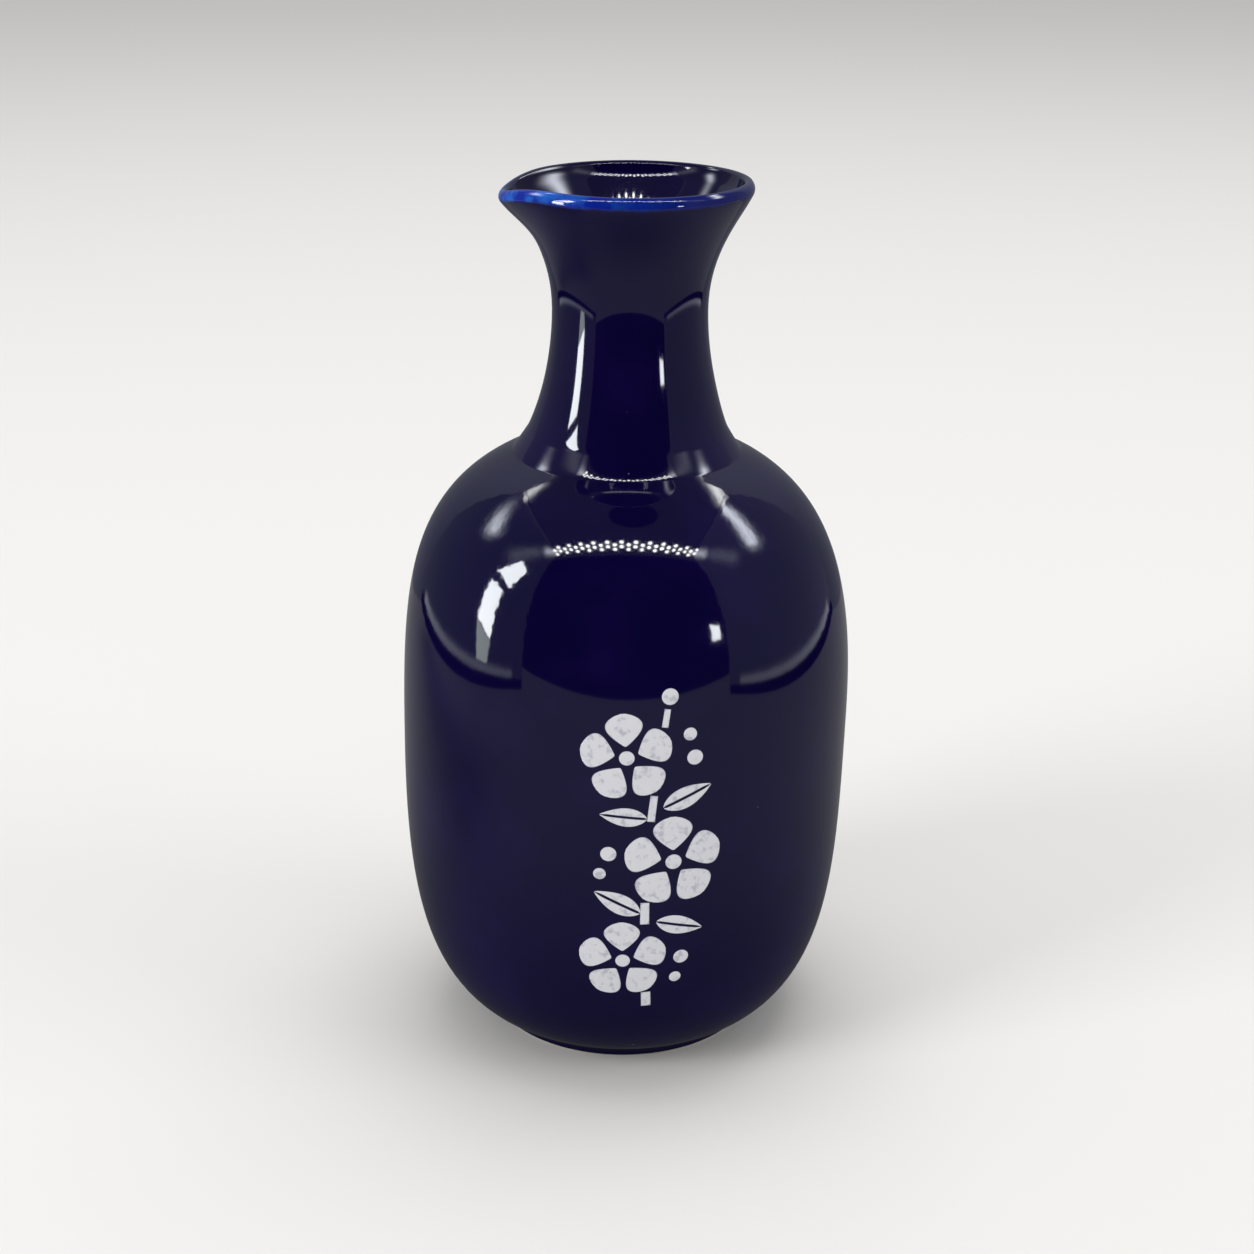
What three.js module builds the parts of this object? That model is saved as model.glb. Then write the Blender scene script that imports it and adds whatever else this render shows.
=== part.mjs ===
// Slip-cast sake decanter (tokkuri) with a pulled pouring lip, glazed inside and out.
// Millimetres, +Z up. The origin is the centre of the foot ring, on the table.
// It is built the way it is made: a cast clay wall, a liner glaze poured inside, a cobalt coat
// dipped outside that laps over the lip, and a pool of glaze in the recess of the foot.
import * as THREE from "three";

const rad = THREE.MathUtils.degToRad;
const at = (radius, z) => new THREE.Vector2(radius, z);

// Overall sizes, along the axis
const height = 148;
const belly = { radius: 38.45, z: 57.6 };
const foot = { radius: 23.5, z: 1.7 };
const junction = { radius: 18.9, z: 103.4 };
const throat = { radius: 12.75, z: 127 };
const mouthRadius = 19.8;
const lipRoll = 1.65; // the lip's outer side
const lipCrest = 0.8; // tighter over its top and inside

// The outline's handles: how far each end of a curve pulls, and at what angle above level
const bellyPull = { foot: 16.8, footAngle: rad(27.5), widest: 25.5 };
const shoulderPull = { widest: 24.4, junction: 17.8, angle: rad(155.3) };
const neckPull = { junction: 5.1, angle: rad(121.7), throat: 10.4 };
const flarePull = { throat: 9.4, lip: 4.8 };
const flareLean = rad(27); // from the vertical, where the flare meets the lip roll
const crestTurn = rad(41.5); // where the roll runs into the crest
const innerTurn = rad(170); // where the crest ends, inside the mouth
const filletReach = { shoulder: 0.4, neck: 4.1 }; // of the crease where they join

// Wall and glaze thicknesses
const wall = { belly: 3.2, throat: 3, lip: 1.85 };
const coat = { body: 0.35, lip: 0.2 };
const linerThickness = 0.3;
const poolThickness = 0.3;
const lapHeight = 140; // the coat laps over the lip and down the mouth to here

// Foot ring, glazed on its outer side almost to the table
const ringWidth = 3;
const recessDepth = 2;
const ringBevel = 0.4;
const glazeLine = 0.5;
const footFillet = 0.9;
const floorRise = 0.5;

// The maker's hand: a lip pulled out at -X, and a belly and a neck that stand a little to +X
const spout = { reach: 1.5, drop: 1.8, halfAngle: rad(24), pinch: 0.5, startZ: 137.5 };
const lean = { sideways: 0.55, startZ: 95.5, endZ: 116.5 };
const swell = { sideways: 0.4, z: 69.5, spread: 19.5 };

// Facets
const around = 40;
const drawnToSpout = 0.35; // how strongly the columns of facets gather at the spout
const spans = { foot: 2, belly: 7, shoulder: 6, fillet: 3, neck: 4, flare: 5, roll: 2, crest: 4 };

const along = (point, angle, length) =>
  at(point.x + length * Math.cos(angle), point.y + length * Math.sin(angle));
const ramp = THREE.MathUtils.smoothstep;
const mix = THREE.MathUtils.lerp;

const rollStart = at(mouthRadius - lipRoll, height - lipCrest);
const rollToCrest = along(at(0, 0), crestTurn, lipRoll - lipCrest);
const rollCentre = at(rollStart.x, rollStart.y - rollToCrest.y);
const crestCentre = at(rollStart.x + rollToCrest.x, rollStart.y);

// The fired outline, from the glaze line above the foot up to the lip roll
function firedOutline() {
  const footCorner = at(foot.radius, foot.z);
  const aboveFoot = along(footCorner, bellyPull.footAngle, footFillet);
  const widest = at(belly.radius, belly.z);
  const corner = at(junction.radius, junction.z);
  const narrow = at(throat.radius, throat.z);
  const flareEnd = along(rollCentre, -flareLean, lipRoll);
  const belowCorner = along(corner, shoulderPull.angle, -filletReach.shoulder);
  const aboveCorner = along(corner, neckPull.angle, filletReach.neck);
  const curves = {
    foot: new THREE.QuadraticBezierCurve(
      at(foot.radius, glazeLine),
      footCorner,
      aboveFoot,
    ),
    belly: new THREE.CubicBezierCurve(
      aboveFoot,
      along(footCorner, bellyPull.footAngle, bellyPull.foot),
      at(belly.radius, belly.z - bellyPull.widest),
      widest,
    ),
    shoulder: new THREE.CubicBezierCurve(
      widest,
      at(belly.radius, belly.z + shoulderPull.widest),
      along(corner, shoulderPull.angle, -shoulderPull.junction),
      belowCorner,
    ),
    fillet: new THREE.QuadraticBezierCurve(belowCorner, corner, aboveCorner),
    neck: new THREE.CubicBezierCurve(
      aboveCorner,
      along(corner, neckPull.angle, neckPull.junction),
      at(throat.radius, throat.z - neckPull.throat),
      narrow,
    ),
    flare: new THREE.CubicBezierCurve(
      narrow,
      at(throat.radius, throat.z + flarePull.throat),
      along(flareEnd, Math.PI / 2 - flareLean, -flarePull.lip),
      flareEnd,
    ),
  };
  const stations = [];
  for (const [name, curve] of Object.entries(curves)) {
    const first = stations.length ? 1 : 0;
    for (let i = first; i <= spans[name]; i++) {
      const tangent = curve.getTangent(i / spans[name]);
      stations.push({
        point: curve.getPoint(i / spans[name]),
        inward: at(-tangent.y, tangent.x),
      });
    }
  }
  return stations;
}

const inset = (stations, depthAt) =>
  stations.map(({ point, inward }) =>
    point.clone().addScaledVector(inward, depthAt(point.y)),
  );

// Depths below the fired outside
const coatDepth = (z) => mix(coat.body, coat.lip, ramp(z, throat.z, height));
const wallDepth = (z) => {
  const upFlare = Math.max(0, (z - throat.z) / (height - 2 - throat.z));
  const upper = mix(wall.throat, wall.lip, upFlare ** 2);
  return mix(wall.belly, upper, ramp(z, belly.z, throat.z));
};

// The stations just under the lip roll are left out, because the roll's own arc stands there
const stations = firedOutline().slice(0, -1);
const fired = stations.map(({ point }) => point);
const underCoat = inset(stations, coatDepth);
const aboveFloor = stations.slice(spans.foot);
const bore = inset(aboveFloor, wallDepth);
const underLiner = inset(aboveFloor, (z) => wallDepth(z) - linerThickness);
const lapStation = bore.findIndex(({ y }) => y > lapHeight);

// The lip, from its round outer side over the crest to its inner side
const arc = (centre, from, to, radius, count) =>
  Array.from({ length: count + 1 }, (_, i) =>
    along(centre, mix(from, to, i / count), radius),
  );
const lipArc = (under) => [
  ...arc(rollCentre, -flareLean, crestTurn, lipRoll - under, spans.roll),
  ...arc(crestCentre, crestTurn, innerTurn, lipCrest - under, spans.crest).slice(1),
];

// A turned piece: its profile goes round the axis, then the maker's touches are put on.
// Each four-sided facet is split from its lower row, so touching pieces split alike.
function turned(profile) {
  const lathe = new THREE.LatheGeometry(profile, around);
  lathe.rotateX(Math.PI / 2);
  const position = lathe.getAttribute("position");
  const p = new THREE.Vector3();
  for (let i = 0; i < position.count; i++) {
    p.fromBufferAttribute(position, i);
    position.setXYZ(i, ...handTouched(p).toArray());
  }
  const rows = profile.length;
  const index = [];
  for (let column = 0; column < around; column++) {
    for (let row = 0; row < rows - 1; row++) {
      const a = column * rows + row;
      const b = a + rows;
      const rising = profile[row + 1].y > profile[row].y;
      if (rising) index.push(a, b, b + 1, a, b + 1, a + 1);
      else index.push(a, b, a + 1, a + 1, b, b + 1);
    }
  }
  lathe.setIndex(index);
  lathe.computeVertexNormals();
  return lathe;
}

function handTouched(p) {
  const even = Math.atan2(-p.y, -p.x); // round from the spout
  const angle = even - drawnToSpout * Math.sin(even);
  const rise = ramp(p.z, spout.startZ, height);
  const lobe = Math.exp(-((angle / spout.halfAngle) ** 2));
  const beside = Math.abs(angle) / spout.halfAngle - 2;
  const pinch = spout.pinch * Math.exp(-(beside ** 2));
  const reach = Math.hypot(p.x, p.y) + rise * (spout.reach * lobe - pinch);
  const neckShift = lean.sideways * ramp(p.z, lean.startZ, lean.endZ);
  const bellyShift = swell.sideways * Math.exp(-(((p.z - swell.z) / swell.spread) ** 2));
  return new THREE.Vector3(
    -reach * Math.cos(angle) + neckShift + bellyShift,
    -reach * Math.sin(angle),
    p.z - rise * spout.drop * lobe,
  );
}

const flooredAt = (z) => at(0, z + floorRise);
const ringInner = foot.radius - ringWidth;
const recessCeiling = recessDepth + poolThickness;

function clayBody() {
  const ringOuter = underCoat[0].x;
  return turned([
    at(0, recessCeiling),
    at(ringInner, recessCeiling),
    at(ringInner, ringBevel),
    at(ringInner + ringBevel, 0),
    at(ringOuter - ringBevel, 0),
    at(ringOuter, ringBevel),
    ...underCoat,
    ...lipArc(coat.lip),
    ...underLiner.toReversed(),
    flooredAt(underLiner[0].y),
  ]);
}

function cobaltCoat() {
  return turned([
    ...fired,
    ...lipArc(0),
    ...bore.slice(lapStation).reverse(),
    ...underLiner.slice(lapStation),
    ...lipArc(coat.lip).reverse(),
    ...underCoat.toReversed(),
    fired[0],
  ]);
}

function linerGlaze() {
  return turned([
    flooredAt(underLiner[0].y),
    ...underLiner.slice(0, lapStation + 1),
    ...bore.slice(0, lapStation + 1).reverse(),
    flooredAt(bore[0].y),
  ]);
}

function footPool() {
  return turned([
    at(0, recessDepth),
    at(ringInner - poolThickness, recessDepth),
    at(ringInner, recessDepth - poolThickness),
    at(ringInner, recessCeiling),
    at(0, recessCeiling),
  ]);
}

const clay = new THREE.MeshStandardMaterial({ color: 0xd9d2c4, roughness: 0.9 });
const cobalt = new THREE.MeshStandardMaterial({ color: 0x120a3c, roughness: 0.06 });

function piece(name, geometry, material) {
  const mesh = new THREE.Mesh(geometry, material.clone());
  mesh.name = name;
  return mesh;
}

const decanter = new THREE.Group();
decanter.name = "sake_decanter";
decanter.add(
  piece("clay_body", clayBody(), clay),
  piece("cobalt_coat", cobaltCoat(), cobalt),
  piece("liner_glaze", linerGlaze(), cobalt),
  piece("foot_glaze", footPool(), cobalt),
);

export default decanter;
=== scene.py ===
# A slip-cast sake decanter (tokkuri) under a glossy cobalt glaze, on a plain pale floor.
import math

import bpy
from mathutils import Euler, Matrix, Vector, geometry


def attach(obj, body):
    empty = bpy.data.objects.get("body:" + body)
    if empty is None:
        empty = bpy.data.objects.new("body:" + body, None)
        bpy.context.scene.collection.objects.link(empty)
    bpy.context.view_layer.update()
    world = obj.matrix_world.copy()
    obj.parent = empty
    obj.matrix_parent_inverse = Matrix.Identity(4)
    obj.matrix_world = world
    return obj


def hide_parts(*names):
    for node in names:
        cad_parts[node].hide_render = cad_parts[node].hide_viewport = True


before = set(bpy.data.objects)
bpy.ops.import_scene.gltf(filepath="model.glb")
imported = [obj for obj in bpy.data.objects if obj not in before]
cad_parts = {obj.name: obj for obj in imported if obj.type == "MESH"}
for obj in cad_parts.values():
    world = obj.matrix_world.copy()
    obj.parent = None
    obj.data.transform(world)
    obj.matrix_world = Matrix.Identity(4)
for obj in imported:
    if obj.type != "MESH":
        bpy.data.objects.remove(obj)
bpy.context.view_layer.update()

mm = 0.001


# Small helpers for node trees
def addNode(tree, kind, inputs=None, **settings):
    node = tree.nodes.new(kind)
    for name, value in settings.items():
        setattr(node, name, value)
    for socket, value in (inputs or {}).items():
        if isinstance(value, bpy.types.NodeSocket):
            tree.links.new(value, node.inputs[socket])
        else:
            node.inputs[socket].default_value = value
    return node


def compute(tree, operation, *values):
    node = addNode(tree, "ShaderNodeMath", dict(enumerate(values)), operation=operation)
    return node.outputs[0]


def rampBetween(tree, value, low, high):
    node = addNode(
        tree,
        "ShaderNodeMapRange",
        {"Value": value, "From Min": low, "From Max": high},
        interpolation_type="SMOOTHSTEP",
    )
    return node.outputs[0]


def mixColours(tree, factor, first, second):
    node = addNode(tree, "ShaderNodeMix", {0: factor, 6: first, 7: second}, data_type="RGBA")
    return node.outputs[2]


def spottyNoise(tree, place, scale, detail=2.0):
    node = addNode(
        tree, "ShaderNodeTexNoise", {"Vector": place, "Scale": scale, "Detail": detail}
    )
    return node.outputs["Fac"]


def addSocket(tree, name, direction, kind, value=None):
    socket = tree.interface.new_socket(name, in_out=direction, socket_type=kind)
    if value is not None:
        socket.default_value = value
    return socket


def newObject(name, mesh):
    obj = bpy.data.objects.new(name, mesh)
    bpy.context.collection.objects.link(obj)
    return obj


def applyTree(obj, tree, values):
    modifier = obj.modifiers.new("shaped", "NODES")
    modifier.node_group = tree
    for item in tree.interface.items_tree:
        if item.in_out == "INPUT" and item.name in values:
            modifier[item.identifier] = values[item.name]
    evaluated = obj.evaluated_get(bpy.context.evaluated_depsgraph_get())
    made = bpy.data.meshes.new_from_object(evaluated)
    obj.modifiers.remove(modifier)
    obj.data = made
    made.name = obj.name
    print(obj.name, len(made.polygons), "faces")


# Camera: where the photograph was taken from
camera = {
    "place": (0.00047, -0.340, 0.20236),
    "pitchDown": 21.082,  # degrees
    "roll": 0.469,
    "focalPixels": 2112.4,
    "imagePixels": 1254,
    "sensor": 36.0,
}


def makeCamera():
    data = bpy.data.cameras.new("photoCamera")
    data.sensor_width = camera["sensor"]
    data.lens = camera["focalPixels"] / camera["imagePixels"] * camera["sensor"]
    data.clip_start = 0.05
    data.clip_end = 20
    obj = newObject("photoCamera", data)
    obj.location = camera["place"]
    aim = Euler((math.radians(90 - camera["pitchDown"]), 0, 0))
    roll = Euler((0, 0, math.radians(camera["roll"])))
    obj.rotation_euler = (aim.to_matrix() @ roll.to_matrix()).to_euler()
    bpy.context.scene.camera = obj
    bpy.context.scene.view_settings.view_transform = "Standard"


makeCamera()
print("camera made")

# The form, in millimetres and degrees: the same driving sizes as the solids have
form = {
    "height": 148,
    "foot": (23.5, 1.7),  # radius and height of each station
    "belly": (38.45, 57.6),
    "junction": (18.9, 103.4),
    "throat": (12.75, 127),
    "mouthRadius": 19.8,
    "lipRoll": (1.65, 0.8),  # the lip's outer side, and tighter over its crest
    "rollTurns": (41.5, 170),  # where the roll runs into the crest, where the crest ends
    "glazeLine": 0.5,
    "footFillet": 0.9,
    "bellyPull": (16.8, 27.5, 25.5),  # at the foot, its angle, at the widest
    "shoulderPull": (24.4, 17.8, 155.3),
    "neckPull": (5.1, 121.7, 10.4),
    "flarePull": (9.4, 4.8, 27),
    "filletReach": (0.4, 4.1),  # down the shoulder, up the neck
    "ringWidth": 3,
    "recessDepth": 2,
    "ringBevel": 0.4,
    "floorRise": 0.5,
    "lapHeight": 140,  # the coat laps over the lip down to here
}

layers = {
    "coat": 0.35,
    "coatAtLip": 0.2,
    "liner": 0.3,
    "pool": 0.3,
    "wallAtBelly": 3.2,
    "wallAtThroat": 3.0,
    "wallAtLip": 1.85,
}

turning = {
    "around": 256,
    "alongCurve": 36,
    "alongBend": 12,
    "rollSteps": 8,
    "crestSteps": 12,
}

touches = {  # the maker's hand, in metres and radians
    "Lean": 0.55 * mm,
    "Lean From": 95.5 * mm,
    "Lean To": 116.5 * mm,
    "Swell": 0.4 * mm,
    "Swell At": 69.5 * mm,
    "Swell Spread": 19.5 * mm,
    "Spout Reach": 1.5 * mm,
    "Spout Drop": 1.8 * mm,
    "Spout Pinch": 0.5 * mm,
    "Spout Half Angle": math.radians(24),
    "Spout From": 137.5 * mm,
    "Spout To": 148 * mm,
}


def polar(centre, degrees, length):
    angle = math.radians(degrees)
    return Vector((centre[0] + length * math.cos(angle), centre[1] + length * math.sin(angle)))


def bezierPoints(start, startHandle, endHandle, end, count):
    points = geometry.interpolate_bezier(start, startHandle, endHandle, end, count + 1)
    return [Vector(p[:2]) for p in points]


def lipCentres():
    roll, crest = form["lipRoll"]
    toCrest = polar((0, 0), form["rollTurns"][0], roll - crest)
    side = Vector((form["mouthRadius"] - roll, form["height"] - crest))
    return side - Vector((0, toCrest.y)), side + Vector((toCrest.x, 0))


def arc(centre, start, end, radius, steps):
    turns = (mixed(start, end, i / steps) for i in range(steps + 1))
    return [polar(centre, turn, radius) for turn in turns]


def lipArc(under):
    sideCentre, crestCentre = lipCentres()
    roll, crest = form["lipRoll"]
    join, end = form["rollTurns"]
    side = arc(sideCentre, -form["flarePull"][2], join, roll - under, turning["rollSteps"])
    over = arc(crestCentre, join, end, crest - under, turning["crestSteps"])
    return side + over[1:]


def firedOutline():
    foot, wide = Vector(form["foot"]), Vector(form["belly"])
    junction, throat = Vector(form["junction"]), Vector(form["throat"])
    footPull, footAngle, widePull = form["bellyPull"]
    shoulderPull, junctionPull, shoulderAngle = form["shoulderPull"]
    neckPull, neckAngle, throatPull = form["neckPull"]
    flareThroat, flareLip, flareLean = form["flarePull"]
    flareEnd = polar(lipCentres()[0], -flareLean, form["lipRoll"][0])
    ground = Vector((foot.x, form["glazeLine"]))
    aboveFoot = polar(foot, footAngle, form["footFillet"])
    below = polar(junction, shoulderAngle, -form["filletReach"][0])
    above = polar(junction, neckAngle, form["filletReach"][1])
    up = Vector((0, 1))
    steps, bend = turning["alongCurve"], turning["alongBend"]
    half = steps // 2
    shoulderHandle = polar(junction, shoulderAngle, -junctionPull)
    flareHandle = polar(flareEnd, 90 - flareLean, -flareLip)
    runs = (
        (ground, ground.lerp(foot, 2 / 3), aboveFoot.lerp(foot, 2 / 3), aboveFoot, bend),
        (aboveFoot, polar(foot, footAngle, footPull), wide - up * widePull, wide, steps),
        (wide, wide + up * shoulderPull, shoulderHandle, below, steps),
        (below, below.lerp(junction, 2 / 3), above.lerp(junction, 2 / 3), above, 2 * bend),
        (above, polar(junction, neckAngle, neckPull), throat - up * throatPull, throat, half),
        (throat, throat + up * flareThroat, flareHandle, flareEnd, half),
    )
    points = [ground]
    for run in runs:
        points += bezierPoints(*run)[1:]
    return points[:-1]


def smoothStep(value, low, high):
    t = min(max((value - low) / (high - low), 0), 1)
    return t * t * (3 - 2 * t)


def mixed(a, b, t):
    return a + (b - a) * t


def coatDepth(z):
    return mixed(layers["coat"], layers["coatAtLip"], smoothStep(z, form["throat"][1], form["height"]))


def wallDepth(z):
    throatZ = form["throat"][1]
    upFlare = max(0, (z - throatZ) / (form["height"] - 2 - throatZ))
    upper = mixed(layers["wallAtThroat"], layers["wallAtLip"], upFlare ** 2)
    return mixed(layers["wallAtBelly"], upper, smoothStep(z, form["belly"][1], throatZ))


def inset(points, depthAt):
    moved = []
    for i, point in enumerate(points):
        before = points[max(i - 1, 0)]
        after = points[min(i + 1, len(points) - 1)]
        tangent = (after - before).normalized()
        moved.append(point + Vector((-tangent.y, tangent.x)) * depthAt(point.y))
    return moved


# Turned forms: a profile goes round the axis, then gets the maker's lean, swell and pulled lip
def turnedTree():
    tree = bpy.data.node_groups.new("turnedForm", "GeometryNodeTree")
    addSocket(tree, "Profile", "INPUT", "NodeSocketGeometry")
    addSocket(tree, "Around", "INPUT", "NodeSocketInt", turning["around"])
    for name in touches:
        addSocket(tree, name, "INPUT", "NodeSocketFloat", 0.0)
    addSocket(tree, "Material", "INPUT", "NodeSocketMaterial")
    addSocket(tree, "Form", "OUTPUT", "NodeSocketGeometry")
    given = addNode(tree, "NodeGroupInput").outputs

    size = addNode(
        tree, "GeometryNodeAttributeDomainSize", {"Geometry": given["Profile"]}, component="MESH"
    )
    rows = size.outputs["Point Count"]
    columns = compute(tree, "ADD", given["Around"], 1)
    grid = addNode(tree, "GeometryNodeMeshGrid", {"Vertices X": columns, "Vertices Y": rows})
    index = addNode(tree, "GeometryNodeInputIndex").outputs[0]
    column = compute(tree, "FLOOR", compute(tree, "DIVIDE", compute(tree, "ADD", index, 0.5), rows))
    row = compute(tree, "SUBTRACT", index, compute(tree, "MULTIPLY", column, rows))
    place = addNode(tree, "GeometryNodeInputPosition").outputs[0]
    sample = addNode(
        tree,
        "GeometryNodeSampleIndex",
        {"Geometry": given["Profile"], "Value": place, "Index": row},
        data_type="FLOAT_VECTOR",
    )
    outline = addNode(tree, "ShaderNodeSeparateXYZ", {0: sample.outputs[0]}).outputs
    radius, z = outline["X"], outline["Z"]
    marked = addNode(
        tree,
        "GeometryNodeStoreNamedAttribute",
        {"Geometry": grid.outputs["Mesh"], "Name": "alongZ", "Value": z},
        data_type="FLOAT",
        domain="POINT",
    )
    marked = addNode(
        tree,
        "GeometryNodeStoreNamedAttribute",
        {"Geometry": marked.outputs[0], "Name": "fromAxis", "Value": radius},
        data_type="FLOAT",
        domain="POINT",
    )

    def bell(offset, spread):
        ratio = compute(tree, "DIVIDE", offset, spread)
        square = compute(tree, "MULTIPLY", ratio, ratio)
        return compute(tree, "EXPONENT", compute(tree, "MULTIPLY", square, -1))

    turn = compute(tree, "DIVIDE", column, given["Around"])
    angle = compute(tree, "MULTIPLY", compute(tree, "SUBTRACT", turn, 0.5), math.tau)
    rise = rampBetween(tree, z, given["Spout From"], given["Spout To"])
    lobe = bell(angle, given["Spout Half Angle"])
    besideAngle = compute(tree, "MULTIPLY", given["Spout Half Angle"], 2)
    besideOffset = compute(tree, "SUBTRACT", compute(tree, "ABSOLUTE", angle), besideAngle)
    beside = bell(besideOffset, given["Spout Half Angle"])
    pushed = compute(
        tree,
        "SUBTRACT",
        compute(tree, "MULTIPLY", lobe, given["Spout Reach"]),
        compute(tree, "MULTIPLY", beside, given["Spout Pinch"]),
    )
    reach = compute(tree, "MULTIPLY_ADD", rise, pushed, radius)
    neckRamp = rampBetween(tree, z, given["Lean From"], given["Lean To"])
    swellBell = bell(compute(tree, "SUBTRACT", z, given["Swell At"]), given["Swell Spread"])
    aside = compute(
        tree,
        "MULTIPLY_ADD",
        neckRamp,
        given["Lean"],
        compute(tree, "MULTIPLY", swellBell, given["Swell"]),
    )
    drop = compute(tree, "MULTIPLY", compute(tree, "MULTIPLY", rise, lobe), given["Spout Drop"])
    backward = compute(tree, "MULTIPLY", reach, compute(tree, "COSINE", angle))
    inward = compute(tree, "MULTIPLY", reach, compute(tree, "SINE", angle))
    x = compute(tree, "SUBTRACT", aside, backward)
    y = compute(tree, "MULTIPLY", inward, -1)
    point = addNode(
        tree, "ShaderNodeCombineXYZ", {"X": x, "Y": y, "Z": compute(tree, "SUBTRACT", z, drop)}
    )
    placed = addNode(
        tree,
        "GeometryNodeSetPosition",
        {"Geometry": marked.outputs[0], "Position": point.outputs[0]},
    )
    closed = addNode(
        tree, "GeometryNodeMergeByDistance", {"Geometry": placed.outputs[0], "Distance": 1e-6}
    )
    real = addNode(tree, "GeometryNodeRealizeInstances", {"Geometry": closed.outputs[0]})
    finished = addNode(
        tree,
        "GeometryNodeSetMaterial",
        {"Geometry": real.outputs[0], "Material": given["Material"]},
    )
    addNode(tree, "NodeGroupOutput", {"Form": finished.outputs[0]})
    return tree


turnedForm = turnedTree()


def turned(name, profile, material, sharpAngle=40):
    mesh = bpy.data.meshes.new(name)
    points = [(p.x * mm, 0, p.y * mm) for p in profile]
    mesh.from_pydata(points, [(i, i + 1) for i in range(len(points) - 1)], [])
    obj = newObject(name, mesh)
    applyTree(obj, turnedForm, {"Around": turning["around"], "Material": material, **touches})
    obj.data.shade_smooth()
    obj.data.set_sharp_from_angle(angle=math.radians(sharpAngle))
    return obj


# Glaze: near-black cobalt that breaks to royal blue where it runs thin over the lip. Towards −X the
# lip's blue is painted stronger, as painted light on the lit side, with a pale mottled painted
# highlight there.
glaze = {
    "Deep": (0.0024, 0.0011, 0.026, 1),
    "Pooled": (0.0046, 0.0018, 0.036, 1),
    "Thin": (0.004, 0.022, 0.36, 1),
    # painted highlight: pale cyan mottle on the lip's lit −X side
    "Bare": (0.012, 0.13, 0.62, 1),
    "Thin From": 0.1459,
    "Thin To": 0.1466,
    "Speck Share": 0.35,
    "outside": (0.0186, 0.0192),  # thin only outside these radii, so not down the mouth
    "cloudScale": 55,
    "cloudShare": (0.45, 0.72),
    "wanderScale": 260,
    "wander": 0.0008,  # how far the thin edge wanders up and down
    "litSideSpan": (0.022, -0.019),  # painted light: the thin blue grows from here to there along X, towards the lit −X side
    "litSideShare": (0.7, 0.14),
    "mottleScale": 330,
    "mottleShare": (0.42, 0.62),
    "speckCells": 150,
    "speckSize": (0.05, 0.006),
    "speckColor": (0.22, 0.22, 0.27, 1),
    "speckHeight": 0.9,
    "speckRoughness": 0.5,
    "peelScale": 620,
    "peelRise": (0.072, 0.088),  # the orange peel is strongest on the shoulder's two sides
    "peelFall": (0.112, 0.100),
    "peelAside": (0.008, 0.018),
    "peel": (1.3, 0.12),
    "smearScale": 40,
    "smear": 0.03,
    "roughness": 0.04,
    "ior": 1.55,
    "bump": 0.000012,
}


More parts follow.
